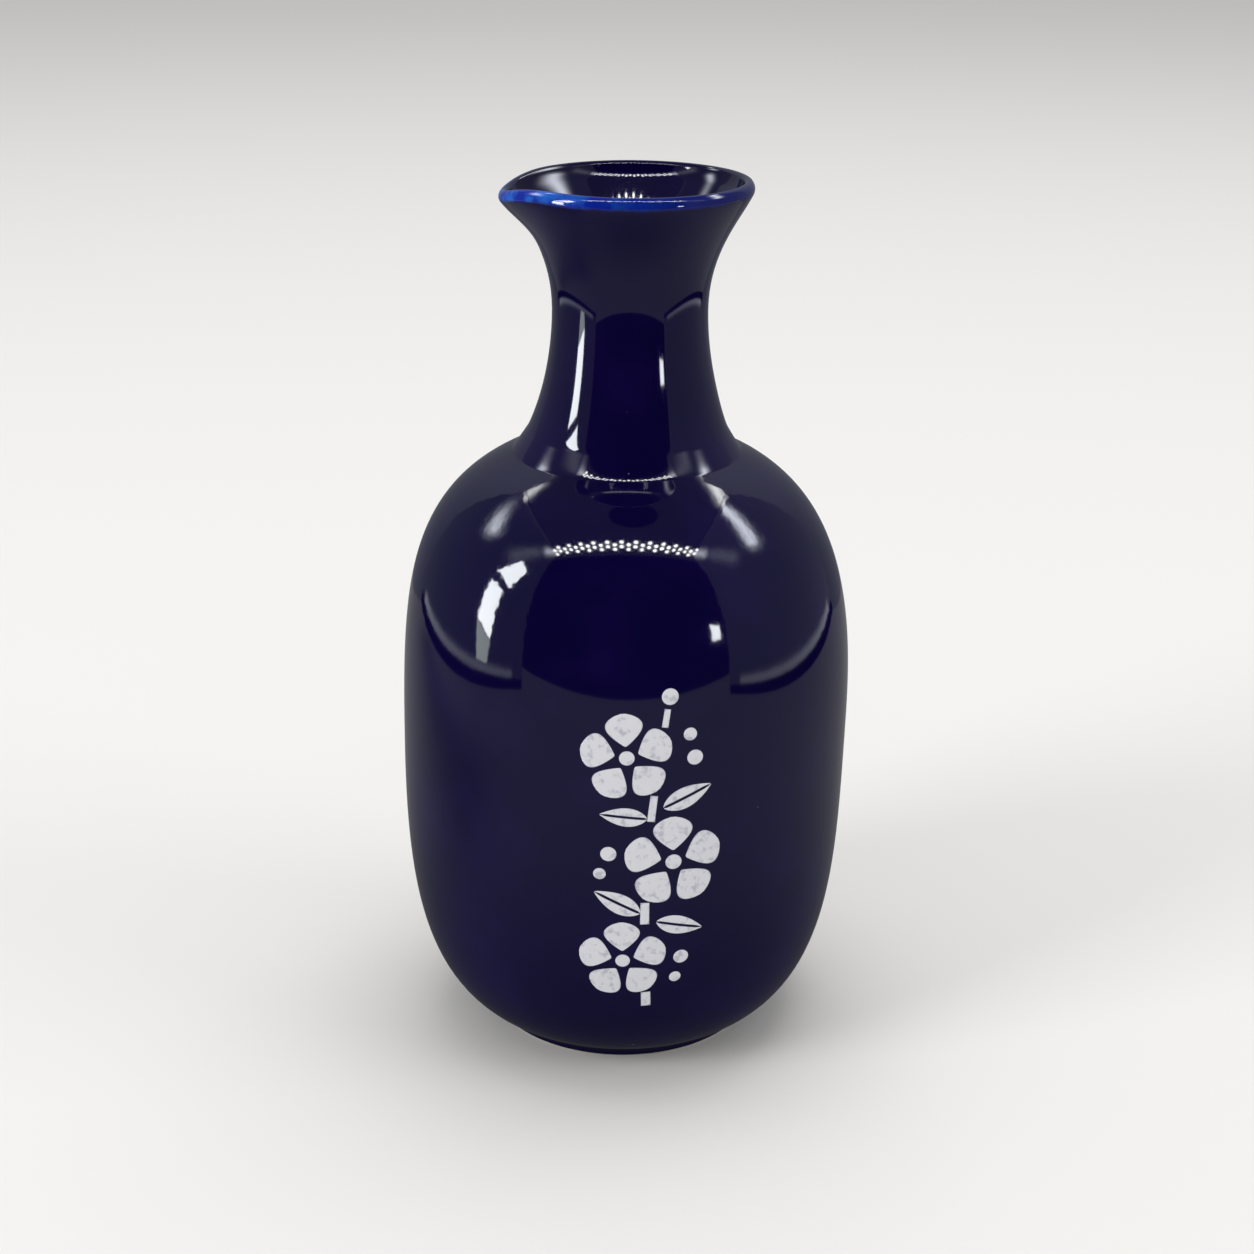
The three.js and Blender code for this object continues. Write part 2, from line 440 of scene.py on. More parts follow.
def glazeGroup():
    tree = bpy.data.node_groups.new("glazeSurface", "ShaderNodeTree")
    for name in ("Deep", "Pooled", "Thin", "Bare"):
        addSocket(tree, name, "INPUT", "NodeSocketColor", glaze[name])
    for name in ("Thin From", "Thin To", "Speck Share"):
        addSocket(tree, name, "INPUT", "NodeSocketFloat", glaze[name])
    addSocket(tree, "Color", "OUTPUT", "NodeSocketColor")
    addSocket(tree, "Roughness", "OUTPUT", "NodeSocketFloat")
    addSocket(tree, "Height", "OUTPUT", "NodeSocketFloat")
    given = addNode(tree, "NodeGroupInput").outputs
    place = addNode(tree, "ShaderNodeTexCoord").outputs["Object"]
    across = addNode(tree, "ShaderNodeSeparateXYZ", {0: place}).outputs["X"]
    alongZ = addNode(tree, "ShaderNodeAttribute", attribute_name="alongZ").outputs["Fac"]

    cloudy = rampBetween(tree, spottyNoise(tree, place, glaze["cloudScale"], 3), *glaze["cloudShare"])
    body = mixColours(tree, cloudy, given["Deep"], given["Pooled"])
    wandering = spottyNoise(tree, place, glaze["wanderScale"], 2)
    height = compute(tree, "MULTIPLY_ADD", wandering, glaze["wander"], alongZ)
    height = compute(tree, "SUBTRACT", height, glaze["wander"] / 2)
    thinness = rampBetween(tree, height, given["Thin From"], given["Thin To"])
    fromAxis = addNode(tree, "ShaderNodeAttribute", attribute_name="fromAxis").outputs["Fac"]
    outside = rampBetween(tree, fromAxis, *glaze["outside"])
    thinness = compute(tree, "MULTIPLY", thinness, outside)
    # Painted light: the lip's thin blue is made stronger towards −X, the lit side, and carries a pale
    # mottled painted highlight there
    towardLitSide = rampBetween(tree, across, *glaze["litSideSpan"])
    mottled = spottyNoise(tree, place, glaze["mottleScale"], 3)
    mottled = rampBetween(tree, mottled, *glaze["mottleShare"])
    paintedHighlightShare = compute(tree, "MULTIPLY", mottled, compute(tree, "POWER", towardLitSide, 2))
    thinAndPaintedHighlight = mixColours(tree, paintedHighlightShare, given["Thin"], given["Bare"])
    litSideStrength = compute(tree, "MULTIPLY_ADD", towardLitSide, *glaze["litSideShare"])
    glazed = mixColours(tree, compute(tree, "MULTIPLY", thinness, litSideStrength), body, thinAndPaintedHighlight)

    cells = addNode(
        tree, "ShaderNodeTexVoronoi", {"Vector": place, "Scale": glaze["speckCells"]}, feature="F1"
    )
    chance = addNode(tree, "ShaderNodeSeparateColor", {0: cells.outputs["Color"]}).outputs[0]
    kept = compute(tree, "LESS_THAN", chance, given["Speck Share"])
    reach = compute(tree, "MULTIPLY_ADD", chance, *glaze["speckSize"])
    near = compute(tree, "LESS_THAN", cells.outputs["Distance"], reach)
    speck = compute(tree, "MULTIPLY", kept, near)
    colour = mixColours(tree, speck, glazed, glaze["speckColor"])

    rising = rampBetween(tree, alongZ, *glaze["peelRise"])
    falling = rampBetween(tree, alongZ, *glaze["peelFall"])
    aside = rampBetween(tree, compute(tree, "ABSOLUTE", across), *glaze["peelAside"])
    shoulder = compute(tree, "MULTIPLY", compute(tree, "MULTIPLY", rising, falling), aside)
    peel = compute(tree, "MULTIPLY_ADD", shoulder, *glaze["peel"])
    swell = compute(tree, "MULTIPLY", spottyNoise(tree, place, glaze["peelScale"], 1), peel)
    surface = compute(tree, "MULTIPLY_ADD", speck, glaze["speckHeight"], swell)
    smear = spottyNoise(tree, place, glaze["smearScale"], 3)
    rough = compute(tree, "MULTIPLY_ADD", smear, glaze["smear"], glaze["roughness"])
    rough = compute(tree, "MULTIPLY_ADD", speck, glaze["speckRoughness"], rough)
    results = {"Color": colour, "Roughness": rough, "Height": surface}
    addNode(tree, "NodeGroupOutput", results)
    return tree


glazeSurface = glazeGroup()


def glazeMaterial(name, values):
    material = bpy.data.materials.new(name)
    material.use_nodes = True
    tree = material.node_tree
    shader = tree.nodes["Principled BSDF"]
    surface = addNode(tree, "ShaderNodeGroup", node_tree=glazeSurface)
    for label, value in values.items():
        surface.inputs[label].default_value = value
    bump = addNode(
        tree,
        "ShaderNodeBump",
        {"Height": surface.outputs["Height"], "Distance": glaze["bump"], "Strength": 1},
    )
    tree.links.new(surface.outputs["Color"], shader.inputs["Base Color"])
    tree.links.new(surface.outputs["Roughness"], shader.inputs["Roughness"])
    tree.links.new(bump.outputs[0], shader.inputs["Normal"])
    shader.inputs["IOR"].default_value = glaze["ior"]
    return material


cobaltGlaze = glazeMaterial("cobaltGlaze", {})
insideGlaze = glazeMaterial("insideGlaze", {"Speck Share": 0.1})

clay = {
    "dark": (0.42, 0.37, 0.31, 1),
    "light": (0.68, 0.63, 0.56, 1),
    "grainScale": 1500,
    "grainShare": (0.35, 0.65),
    "grainHeight": 0.00008,
    "roughness": 0.85,
    "specular": 0.2,
}


def clayMaterial():
    material = bpy.data.materials.new("firedClay")
    material.use_nodes = True
    tree = material.node_tree
    shader = tree.nodes["Principled BSDF"]
    place = addNode(tree, "ShaderNodeTexCoord").outputs["Object"]
    grain = spottyNoise(tree, place, clay["grainScale"], 4)
    lightness = rampBetween(tree, grain, *clay["grainShare"])
    colour = mixColours(tree, lightness, clay["dark"], clay["light"])
    bump = addNode(tree, "ShaderNodeBump", {"Height": grain, "Distance": clay["grainHeight"]})
    tree.links.new(colour, shader.inputs["Base Color"])
    tree.links.new(bump.outputs[0], shader.inputs["Normal"])
    shader.inputs["Roughness"].default_value = clay["roughness"]
    shader.inputs["Specular IOR Level"].default_value = clay["specular"]
    return material


firedClay = clayMaterial()
print("glaze and clay made")

outline = firedOutline()
underCoat = inset(outline, coatDepth)
aboveFloor = outline[turning["alongBend"]:]
bore = inset(aboveFloor, wallDepth)
underLiner = inset(aboveFloor, lambda z: wallDepth(z) - layers["liner"])
lapStation = next(i for i, p in enumerate(bore) if p.y > form["lapHeight"])
ringInner = form["foot"][0] - form["ringWidth"]
recessCeiling = form["recessDepth"] + layers["pool"]
overRoll = lipArc(0)
underRoll = lipArc(layers["coatAtLip"])


def flooredAt(z):
    return Vector((0, z + form["floorRise"]))


def clayProfile():
    bevel = form["ringBevel"]
    outer = underCoat[0].x
    return [
        Vector((0, recessCeiling)),
        Vector((ringInner, recessCeiling)),
        Vector((ringInner, bevel)),
        Vector((ringInner + bevel, 0)),
        Vector((outer - bevel, 0)),
        Vector((outer, bevel)),
        *underCoat,
        *underRoll,
        *reversed(underLiner),
        flooredAt(underLiner[0].y),
    ]


def coatProfile():
    return [
        *outline,
        *overRoll,
        *reversed(bore[lapStation:]),
        *underLiner[lapStation:],
        *reversed(underRoll),
        *reversed(underCoat),
        outline[0],
    ]


def linerProfile():
    return [
        flooredAt(underLiner[0].y),
        *underLiner[: lapStation + 1],
        *reversed(bore[: lapStation + 1]),
        flooredAt(bore[0].y),
    ]


def poolProfile():
    recess, thick = form["recessDepth"], layers["pool"]
    return [
        Vector((0, recess)),
        Vector((ringInner - thick, recess)),
        Vector((ringInner, recess - thick)),
        Vector((ringInner, recessCeiling)),
        Vector((0, recessCeiling)),
    ]


pieces = (
    ("clayWall", clayProfile(), firedClay, "clay_body", "fired_clay"),
    ("cobaltCoat", coatProfile(), cobaltGlaze, "cobalt_coat", "cobalt_glaze"),
    ("linerGlaze", linerProfile(), insideGlaze, "liner_glaze", "inside_glaze"),
    ("footGlaze", poolProfile(), insideGlaze, "foot_glaze", "foot_recess_glaze"),
)
made = {}
for name, profile, material, node, slotName in pieces:
    piece = turned(name, profile, material)
    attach(piece, "root")
    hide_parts(node)
    made[name] = piece
print("turned pieces made")

# White printed branch on the front of the belly: three five-petalled blossoms, leaves, buds.
# It is drawn flat in millimetres, round the belly from the front and up from the table.
sprig = {
    "foot": (4.4, 17.5),
    "tip": (7.0, 72.0),
    "bow": 1.8,
    "stemWidth": (1.7, 1.0),
    "blossoms": ((0.6, 64.0, 1.0), (8.2, 45.5, 1.08), (0.2, 27.2, 1.0)),  # place, size
    "petals": 5,
    "petalStart": 1.9,
    "petalLength": 5.6,
    "petalWidth": 5.9,
    "petalCut": (0.015, 0.992),  # its pointed ends are cut off here, in parts of its length
    "petalOutline": (1.45, 0.62),  # widest towards its end, and blunt
    "petalTurn": (90, 9),  # the first petal's degrees, and how they grow with x
    "heart": 0.9,  # size of the spot in a blossom's middle
    "leaves": (  # place, degrees from level, size
        (3.0, 36.3, 152, 0.95),
        (5.6, 34.6, -14, 0.9),
        (6.4, 55.2, 24, 0.95),
        (3.9, 53.4, 174, 0.85),
    ),
    "leafLength": 9.0,
    "leafWidth": 3.8,
    "leafCut": (0.01, 0.985),
    "leafOutline": (0.8, 0.85),
    "veinGap": 0.5,
    "veinShare": 0.3,  # at its ends the vein takes at most this much of the leaf's half
    "buds": (  # place, size
        (7.4, 74.0, 1.0),
        (10.6, 67.6, 0.8),
        (11.4, 63.6, 0.95),
        (-2.2, 47.2, 0.95),
        (-3.6, 43.6, 0.75),
        (10.0, 27.4, 0.95),
        (9.2, 23.4, 0.75),
    ),
    "budRadius": 1.35,
    "clearance": 7.6,  # the stem stops this far from a blossom's centre
    "steps": 18,
}

sprigPrint = {  # metres
    "Wrap Radius": 38.0 * mm,
    "Lift": 0.035 * mm,
    "Dome": 0.03 * mm,
}
printDepth = 0.1 * mm
printStart = 0.06  # the rays that find the glaze start this far from the axis


def stemPoint(t):
    start, end = Vector(sprig["foot"]), Vector(sprig["tip"])
    side = (end - start).normalized()
    normal = Vector((-side.y, side.x))
    return start.lerp(end, t) + normal * sprig["bow"] * math.sin(math.pi * t)


def stemAhead(t):
    return (stemPoint(min(t + 0.01, 1)) - stemPoint(max(t - 0.01, 0))).normalized()


def flatObject(name, strips):
    # Each strip is a list of rows of flat points; "inner" is 0 along the strip's rim
    points, faces, inner = [], [], []
    for strip in strips:
        first, wide = len(points), len(strip[0])
        for r, line in enumerate(strip):
            for c, p in enumerate(line):
                points.append((p[0] * mm, 0, p[1] * mm))
                rim = c in (0, wide - 1) or r in (0, len(strip) - 1)
                inner.append(0.0 if rim else 1.0)
        for r in range(len(strip) - 1):
            for c in range(wide - 1):
                a = first + r * wide + c
                faces.append(facingFront(points, (a, a + 1, a + 1 + wide, a + wide)))
    mesh = bpy.data.meshes.new(name)
    mesh.from_pydata(points, [], faces)
    mesh.attributes.new("inner", "FLOAT", "POINT").data.foreach_set("value", inner)
    return newObject(name, mesh)


def facingFront(points, face):
    corners = [points[i] for i in face]
    following = corners[1:] + corners[:1]
    area = sum(a[0] * b[2] - b[0] * a[2] for a, b in zip(corners, following))
    return face if area > 0 else face[::-1]


def halfWidth(t, width, outline):
    # Of a pointed oval: the first exponent moves its widest place, the second rounds it
    shift, roundness = outline
    return width / 2 * math.sin(math.pi * t ** shift) ** roundness


def leafStrips():
    # Two halves with the vein left bare between them
    steps, across = sprig["steps"], 4
    strips = []
    for side in (1, -1):
        strip = []
        for i in range(steps + 1):
            t = mixed(*sprig["leafCut"], i / steps)
            half = halfWidth(t, sprig["leafWidth"], sprig["leafOutline"])
            low = min(sprig["veinGap"] / 2, sprig["veinShare"] * half)
            line = [mixed(low, half, j / across) for j in range(across + 1)]
            strip.append([(t * sprig["leafLength"], side * v) for v in line])
        strips.append(strip)
    return strips


def petalStrip():
    steps = sprig["steps"]
    strip = []
    for i in range(steps + 1):
        t = mixed(*sprig["petalCut"], i / steps)
        half = halfWidth(t, sprig["petalWidth"], sprig["petalOutline"])
        x = sprig["petalStart"] + t * sprig["petalLength"]
        strip.append([(x, half * s) for s in (-1, -0.75, -0.3, 0.3, 0.75, 1)])
    return strip


def budStrip():
    # Rows across a round spot, from its foot to its top
    steps = sprig["steps"]
    strip = []
    for i in range(steps + 1):
        edge = polar((0, 0), mixed(4, 176, i / steps), sprig["budRadius"])
        strip.append([(edge.x, edge.y * s) for s in (-1, -0.6, 0, 0.6, 1)])
    return strip


def stemStrips():
    # The stem in runs, broken where a blossom stands over it
    steps = 6 * sprig["steps"]
    low, high = sprig["stemWidth"]
    centres = [(Vector((x, z)), size) for x, z, size in sprig["blossoms"]]
    strips, run = [], []
    for i in range(steps + 1):
        t = i / steps
        here, ahead = stemPoint(t), stemAhead(t)
        bare = all((here - c).length > sprig["clearance"] * size for c, size in centres)
        if bare:
            normal = Vector((-ahead.y, ahead.x))
            half = mixed(low, high, t) / 2
            run.append([tuple(here + normal * half * s) for s in (-1, -0.4, 0.4, 1)])
        if run and (not bare or i == steps):
            strips.append(run)
            run = []
    return [strip for strip in strips if len(strip) > 3]


def sprigSpots():
    # Where each petal, bud and leaf stands, its turn, its size and which of the three it is
    spots = []
    upright, growth = sprig["petalTurn"]
    for x, z, size in sprig["blossoms"]:
        for i in range(sprig["petals"]):
            turn = math.tau * i / sprig["petals"] + math.radians(upright + growth * x)
            spots.append((x, z, turn, size, 0))
        spots.append((x, z, 0, size * sprig["heart"], 1))
    spots += [(x, z, 0, size, 1) for x, z, size in sprig["buds"]]
    spots += [(x, z, math.radians(turn), size, 2) for x, z, turn, size in sprig["leaves"]]
    mesh = bpy.data.meshes.new("sprigSpots")
    mesh.from_pydata([(spot[0] * mm, 0, spot[1] * mm) for spot in spots], [], [])
    for column, name in enumerate(("turn", "size", "kind"), 2):
        values = [spot[column] for spot in spots]
        mesh.attributes.new(name, "FLOAT", "POINT").data.foreach_set("value", values)
    return newObject("sprigSpots", mesh)


def sprigTree():
    tree = bpy.data.node_groups.new("printedSprig", "GeometryNodeTree")
    addSocket(tree, "Stem", "INPUT", "NodeSocketGeometry")
    for name in ("Petal", "Bud", "Leaf", "Spots", "Glazed Form"):
        addSocket(tree, name, "INPUT", "NodeSocketObject")
    for name in sprigPrint:
        addSocket(tree, name, "INPUT", "NodeSocketFloat", 0.0)
    addSocket(tree, "Material", "INPUT", "NodeSocketMaterial")
    addSocket(tree, "Print", "OUTPUT", "NodeSocketGeometry")
    given = addNode(tree, "NodeGroupInput").outputs

    def shapeOf(label):
        return addNode(tree, "GeometryNodeObjectInfo", {"Object": given[label]}).outputs["Geometry"]

    def stored(label):
        node = addNode(tree, "GeometryNodeInputNamedAttribute", {"Name": label}, data_type="FLOAT")
        return node.outputs["Attribute"]

    turn = addNode(tree, "ShaderNodeCombineXYZ", {"Y": compute(tree, "MULTIPLY", stored("turn"), -1)})
    spots = shapeOf("Spots")
    placed = [given["Stem"]]
    for kind, label in enumerate(("Petal", "Bud", "Leaf")):
        copies = addNode(
            tree,
            "GeometryNodeInstanceOnPoints",
            {
                "Points": spots,
                "Selection": compute(tree, "COMPARE", stored("kind"), kind, 0.5),
                "Instance": shapeOf(label),
                "Rotation": turn.outputs[0],
                "Scale": stored("size"),
            },
        )
        placed.append(copies.outputs[0])
    joined = addNode(tree, "GeometryNodeJoinGeometry")
    for part in placed:
        tree.links.new(part, joined.inputs[0])
    flat = addNode(tree, "GeometryNodeRealizeInstances", {"Geometry": joined.outputs[0]})

    place = addNode(tree, "GeometryNodeInputPosition").outputs[0]
    split = addNode(tree, "ShaderNodeSeparateXYZ", {0: place}).outputs
    angle = compute(tree, "DIVIDE", split["X"], given["Wrap Radius"])
    east, north = compute(tree, "SINE", angle), compute(tree, "COSINE", angle)
    start = addNode(
        tree,
        "ShaderNodeCombineXYZ",
        {
            "X": compute(tree, "MULTIPLY", east, printStart),
            "Y": compute(tree, "MULTIPLY", north, -printStart),
            "Z": split["Z"],
        },
    )
    west = compute(tree, "MULTIPLY", east, -1)
    inward = addNode(tree, "ShaderNodeCombineXYZ", {"X": west, "Y": north})
    ray = addNode(
        tree,
        "GeometryNodeRaycast",
        {
            "Target Geometry": shapeOf("Glazed Form"),
            "Source Position": start.outputs[0],
            "Ray Direction": inward.outputs[0],
            "Ray Length": printStart,
        },
    )
    height = compute(tree, "MULTIPLY_ADD", stored("inner"), given["Dome"], given["Lift"])
    raised = addNode(
        tree,
        "ShaderNodeVectorMath",
        {0: ray.outputs["Hit Normal"], "Scale": height},
        operation="SCALE",
    )
    onGlaze = addNode(
        tree,
        "ShaderNodeVectorMath",
        {0: ray.outputs["Hit Position"], 1: raised.outputs[0]},
        operation="ADD",
    )
    wrapped = addNode(
        tree,
        "GeometryNodeSetPosition",
        {"Geometry": flat.outputs[0], "Position": onGlaze.outputs[0]},
    )
    real = addNode(tree, "GeometryNodeRealizeInstances", {"Geometry": wrapped.outputs[0]})
    finished = addNode(
        tree,
        "GeometryNodeSetMaterial",
        {"Geometry": real.outputs[0], "Material": given["Material"]},
    )
    addNode(tree, "NodeGroupOutput", {"Print": finished.outputs[0]})
    return tree


printInk = {
    "full": (0.66, 0.66, 0.70, 1),
    "thin": (0.46, 0.46, 0.53, 1),
    "rim": (0.30, 0.30, 0.40, 1),
    "rimShare": (-0.2, 0.35),
    "grainScale": 900,
    "grainShare": (0.3, 0.5),
    "grainHeight": 0.00002,
    "roughness": 0.5,
    "specular": 0.25,
}


def inkMaterial():
    material = bpy.data.materials.new("whiteInk")
    material.use_nodes = True
    tree = material.node_tree
    shader = tree.nodes["Principled BSDF"]
    place = addNode(tree, "ShaderNodeTexCoord").outputs["Object"]
    grain = spottyNoise(tree, place, printInk["grainScale"], 4)
    inner = addNode(tree, "ShaderNodeAttribute", attribute_name="inner").outputs["Fac"]
    fullness = rampBetween(tree, grain, *printInk["grainShare"])
    body = mixColours(tree, fullness, printInk["thin"], printInk["full"])
    fromRim = rampBetween(tree, inner, *printInk["rimShare"])
    colour = mixColours(tree, fromRim, printInk["rim"], body)
    bump = addNode(tree, "ShaderNodeBump", {"Height": grain, "Distance": printInk["grainHeight"]})
    tree.links.new(colour, shader.inputs["Base Color"])
    tree.links.new(bump.outputs[0], shader.inputs["Normal"])
    shader.inputs["Roughness"].default_value = printInk["roughness"]
    shader.inputs["Specular IOR Level"].default_value = printInk["specular"]
    return material


def makeSprig():
    obj = flatObject("whiteBranch", stemStrips())
    helpers = {
        "Petal": flatObject("branchPetal", [petalStrip()]),
        "Bud": flatObject("branchBud", [budStrip()]),
        "Leaf": flatObject("branchLeaf", leafStrips()),
        "Spots": sprigSpots(),
    }
    bpy.context.view_layer.update()
    values = {
        "Glazed Form": made["cobaltCoat"],
        "Material": inkMaterial(),
        **helpers,
        **sprigPrint,
    }
    applyTree(obj, sprigTree(), values)
    for helper in helpers.values():
        bpy.data.objects.remove(helper)
    thick = obj.modifiers.new("thick", "SOLIDIFY")
    thick.thickness = printDepth
    thick.offset = -1
    evaluated = obj.evaluated_get(bpy.context.evaluated_depsgraph_get())
    closed = bpy.data.meshes.new_from_object(evaluated)
    obj.modifiers.remove(thick)
    obj.data = closed
    obj.data.shade_smooth()
    obj.data.set_sharp_from_angle(angle=math.radians(60))
    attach(obj, "root")


makeSprig()
print("sprig made")

# Stage: pale floor, soft lamps, and a light tent that only the gloss sees
stage = {
    "floorSize": 6.0,
    "floorColor": (0.80, 0.79, 0.775, 1),
    "worldLight": 0.55,
}


def makeFloor():
    half = stage["floorSize"] / 2
    mesh = bpy.data.meshes.new("floor")
    corners = [(-half, -half, 0), (half, -half, 0), (half, half, 0), (-half, half, 0)]
    mesh.from_pydata(corners, [], [(0, 1, 2, 3)])
    obj = newObject("floor", mesh)
    material = bpy.data.materials.new("paleFloor")
    material.use_nodes = True
    shader = material.node_tree.nodes["Principled BSDF"]
    shader.inputs["Base Color"].default_value = stage["floorColor"]
    shader.inputs["Roughness"].default_value = 0.8
    shader.inputs["Specular IOR Level"].default_value = 0
    mesh.materials.append(material)


def makeWorld():
    world = bpy.data.worlds.new("studio")
    bpy.context.scene.world = world
    world.use_nodes = True
    tree = world.node_tree
    path = addNode(tree, "ShaderNodeLightPath")
    shown = compute(tree, "MAXIMUM", path.outputs["Is Camera Ray"], path.outputs["Is Glossy Ray"])
    shown = compute(tree, "MAXIMUM", shown, path.outputs["Is Transmission Ray"])
    strength = compute(tree, "MAXIMUM", shown, stage["worldLight"])
    background = tree.nodes["Background"]
    background.inputs["Color"].default_value = (1, 1, 1, 1)
    tree.links.new(strength, background.inputs["Strength"])


def makeSoftbox(name, place, aim, size, watts):
    data = bpy.data.lights.new(name, "AREA")
    data.shape = "RECTANGLE"
    data.size, data.size_y = size
    data.energy = watts
    obj = newObject(name, data)
    obj.location = place
    direction = Vector(aim) - Vector(place)
    obj.rotation_euler = direction.to_track_quat("-Z", "Y").to_euler()
    obj.visible_glossy = False


softboxes = (
    ("leftSoft", (-1.5, -0.9, 0.9), (0, 0, 0.08), (0.7, 0.9), 16),
    ("rightSoft", (1.7, -0.5, 0.8), (0, 0, 0.08), (1.0, 1.0), 9),
    ("topSoft", (0.1, 0.3, 1.6), (0, 0, 0.05), (1.2, 1.2), 11),
)
makeFloor()
makeWorld()
for box in softboxes:
    makeSoftbox(*box)

# The tent, in metres: its size, how bright each side is, and the glows, painted shadows and panes on
# it
tent = {
    "halfWidth": 0.30,
    "front": -0.25,
    "back": 0.25,
    "top": 0.50,
    "floor": 0.0002,
    "seam": (0.28, 0.284),  # the roof sheet ends and the edge strip begins
    "behindSeam": 0.003,
    "wallGap": 0.016,  # dark, under the side walls
    "gapSoftness": (0.002, 0.001),
    "opening": (0.035, 0.45),  # from the front sill up to the band
    "hole": ((0.022, -0.034, 0.50), 0.070),  # centre and radius, in the roof
    "holeSoftness": (0.95, 1.03),
    "paneProud": 0.001,
}

tentLevels = {
    "left": 0.15,
    "right": 0.2,
    "roof": 0.09,
    "roofEdge": 0.2,
    "back": 0.14,
    "band": 0.12,
    "sill": 0.25,
    "clothWithShadow": 0.24,
    "opening": 0.0,
    "pane": 18.0,
    "dullPane": 4.0,
}

tentColours = {
    "plain": (1, 1, 1, 1),
    "wall": (0.86, 0.9, 1, 1),
    "pane": (0.93, 0.97, 1, 1),
    "dullPane": (0.8, 0.9, 0.85, 1),
}

tentGlowsAndShadows = {  # from, to, width, strength (a negative strength paints shade)
    "left": (
        ((-0.30, 0.06, 0.30), (-0.24, 0.24, 0.50), 0.028, 8.0),
        ((-0.30, -0.15, 0.40), (-0.30, -0.09, 0.30), 0.03, 0.9),
        ((-0.30, -0.19, 0.46), (-0.30, -0.215, 0.50), 0.025, 7.0),
        ((-0.30, -0.2, 0.022), (-0.30, 0.2, 0.022), 0.007, 0.9),
    ),
    "right": (
        ((0.30, 0.124, 0.50), (0.30, 0.01, 0.30), 0.026, 11.0),
        ((0.30, -0.15, 0.40), (0.30, -0.10, 0.32), 0.03, 0.9),
        ((0.30, -0.19, 0.46), (0.30, -0.215, 0.50), 0.025, 7.0),
        ((0.30, -0.2, 0.022), (0.30, 0.2, 0.022), 0.007, 0.9),
    ),
    "roof": (
        ((-0.29, 0.20, 0.50), (-0.24, 0.24, 0.50), 0.026, 7.0),
        ((0.235, 0.25, 0.50), (0.29, 0.15, 0.50), 0.026, 10.0),
        ((-0.30, -0.215, 0.50), (-0.275, -0.215, 0.50), 0.015, 7.0),
        ((0.275, -0.215, 0.50), (0.30, -0.215, 0.50), 0.015, 7.0),
        ((-0.30, -0.215, 0.50), (0.30, -0.215, 0.50), 0.018, 0.12),
    ),
    "back": (((-0.2, 0.25, 0.45), (0.2, 0.25, 0.45), 0.25, 0.35),),
    "clothWithShadow": (  # painted shade: the floor card darker round the foot, as the decanter's contact shadow, and in a patch out to the left
        ((0, 0, 0.0002), (0.0001, 0, 0.0002), 0.09, -0.2),
        ((-0.15, -0.03, 0.0002), (-0.26, 0.12, 0.0002), 0.05, -0.12),
    ),
}

leftPanes = {  # corners along y and z
    "paneHigh": ("pane", ((-0.075, 0.214), (-0.131, 0.311), (-0.178, 0.286), (-0.145, 0.195))),
    "paneLow": ("pane", ((-0.070, 0.185), (-0.124, 0.176), (-0.119, 0.063), (-0.065, 0.091))),
    "paneFoot": ("dullPane", ((-0.065, 0.088), (-0.119, 0.060), (-0.110, 0.029), (-0.075, 0.029))),
}
rightPane = ((0.224, 0.108), (0.270, 0.144))  # low and high corner along x and z


def streakGroup():
    # A soft bright streak along a line, in the tent's own coordinates
    tree = bpy.data.node_groups.new("glowStreak", "ShaderNodeTree")
    addSocket(tree, "From", "INPUT", "NodeSocketVector", (0, 0, 0))
    addSocket(tree, "To", "INPUT", "NodeSocketVector", (0, 0, 1))
    addSocket(tree, "Width", "INPUT", "NodeSocketFloat", 0.02)
    addSocket(tree, "Strength", "INPUT", "NodeSocketFloat", 1.0)
    addSocket(tree, "Glow", "OUTPUT", "NodeSocketFloat")
    given = addNode(tree, "NodeGroupInput").outputs
    place = addNode(tree, "ShaderNodeTexCoord").outputs["Object"]

    def vector(operation, a, b):
        node = addNode(tree, "ShaderNodeVectorMath", {0: a, 1: b}, operation=operation)
        return node.outputs["Value"] if operation == "DOT_PRODUCT" else node.outputs[0]

    line = vector("SUBTRACT", given["To"], given["From"])
    offset = vector("SUBTRACT", place, given["From"])
    along, whole = vector("DOT_PRODUCT", offset, line), vector("DOT_PRODUCT", line, line)
    share = addNode(tree, "ShaderNodeClamp", {0: compute(tree, "DIVIDE", along, whole)}).outputs[0]
    nearest = addNode(tree, "ShaderNodeVectorMath", {0: line, "Scale": share}, operation="SCALE")
    away = vector("SUBTRACT", offset, nearest.outputs[0])
    square = compute(
        tree,
        "DIVIDE",
        vector("DOT_PRODUCT", away, away),
        compute(tree, "MULTIPLY", given["Width"], given["Width"]),
    )
    fading = compute(tree, "EXPONENT", compute(tree, "MULTIPLY", square, -1))
    addNode(tree, "NodeGroupOutput", {"Glow": compute(tree, "MULTIPLY", fading, given["Strength"])})
    return tree


glowStreak = streakGroup()


